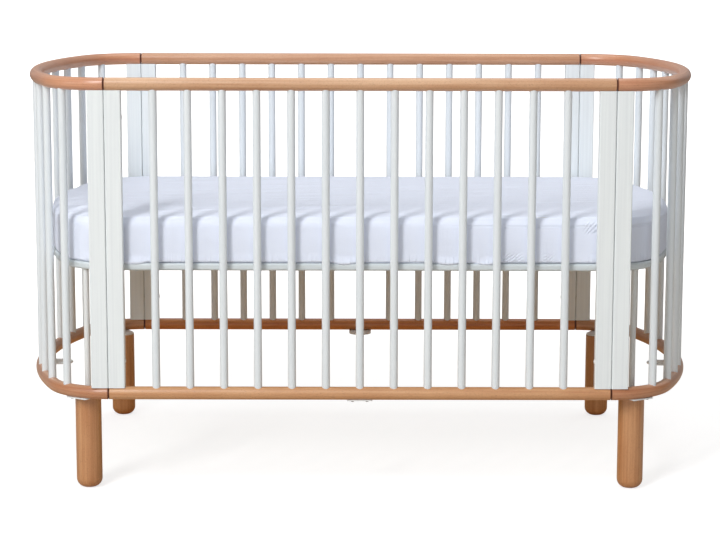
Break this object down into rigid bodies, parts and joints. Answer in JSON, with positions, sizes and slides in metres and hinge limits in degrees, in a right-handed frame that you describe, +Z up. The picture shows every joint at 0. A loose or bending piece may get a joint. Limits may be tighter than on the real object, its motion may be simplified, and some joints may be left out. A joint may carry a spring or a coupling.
{
  "type": "baby crib",
  "caption": "Oval wooden baby crib with bent gable rails, white spindles and posts, round legs, a raised mattress base and a sheeted mattress.",
  "frame": {"origin": "on the floor, at the middle of the crib's plan", "axes": "+X along the crib, +Y across it to the back, +Z up"},
  "size_m": [1.381, 0.761, 0.831],
  "materials": {
    "straight_beech": "clear satin lacquer over straight-grained beech",
    "bent_beech": "clear satin lacquer over bent laminated beech, fine glue lines along the bend",
    "turned_beech": "clear satin lacquer over turned beech, grain upright",
    "dowel_beech": "bare fluted beech",
    "spindle_lacquer": "white satin lacquer over beech",
    "board_lacquer": "white satin lacquer over beech",
    "base_lacquer": "warm white satin lacquer",
    "white_steel": "white powder coat",
    "zinc_steel": "bright zinc plate",
    "white_plastic": "moulded white",
    "mattress_cover": "plain woven white ticking",
    "cotton_sheet": "fine plain-woven cotton, cool white"
  },
  "bodies": {
    "frame": {"top_rail_front": "straight_beech", "top_rail_back": "straight_beech", "top_rail_left": "bent_beech", "top_rail_right": "bent_beech", "low_rail_front": "straight_beech", "low_rail_back": "straight_beech", "low_rail_left": "bent_beech", "low_rail_right": "bent_beech", "spindles_front": "spindle_lacquer", "spindles_back": "spindle_lacquer", "spindles_left": "spindle_lacquer", "spindles_right": "spindle_lacquer", "side_board_front_left": "board_lacquer", "side_board_front_right": "board_lacquer", "side_board_back_left": "board_lacquer", "side_board_back_right": "board_lacquer", "gable_board_front_left": "board_lacquer", "gable_board_front_right": "board_lacquer", "gable_board_back_left": "board_lacquer", "gable_board_back_right": "board_lacquer", "board_dowels": "dowel_beech", "joint_bolts": "zinc_steel", "joint_inserts": "zinc_steel", "bolt_caps": "white_plastic", "leg_front_left": "turned_beech", "leg_front_right": "turned_beech", "leg_back_left": "turned_beech", "leg_back_right": "turned_beech", "leg_plate_front_left": "white_steel", "leg_plate_front_right": "white_steel", "leg_plate_back_left": "white_steel", "leg_plate_back_right": "white_steel", "spare_plate_front": "white_steel", "spare_plate_back": "white_steel", "spare_plate_left": "white_steel", "spare_plate_right": "white_steel", "leg_studs": "zinc_steel", "plate_screws": "zinc_steel", "rod_front_left": "white_steel", "rod_front_right": "white_steel", "rod_back_left": "white_steel", "rod_back_right": "white_steel"},
    "base": {"base_rail_front": "base_lacquer", "base_rail_back": "base_lacquer", "base_bow_left": "base_lacquer", "base_bow_right": "base_lacquer", "base_dowels": "dowel_beech", "base_slats": "base_lacquer"},
    "mattress": {"mattress": "mattress_cover", "fitted_sheet": "cotton_sheet"}
  },
  "joints": [
    {"name": "base_lift", "type": "slide", "parent": "frame", "child": "base", "axis": [0, 0, 1], "range_m": [0, 0.42]},
    {"name": "mattress_lift", "type": "slide", "parent": "base", "child": "mattress", "axis": [0, 0, 1], "range_m": [0, 0.42]}
  ]
}
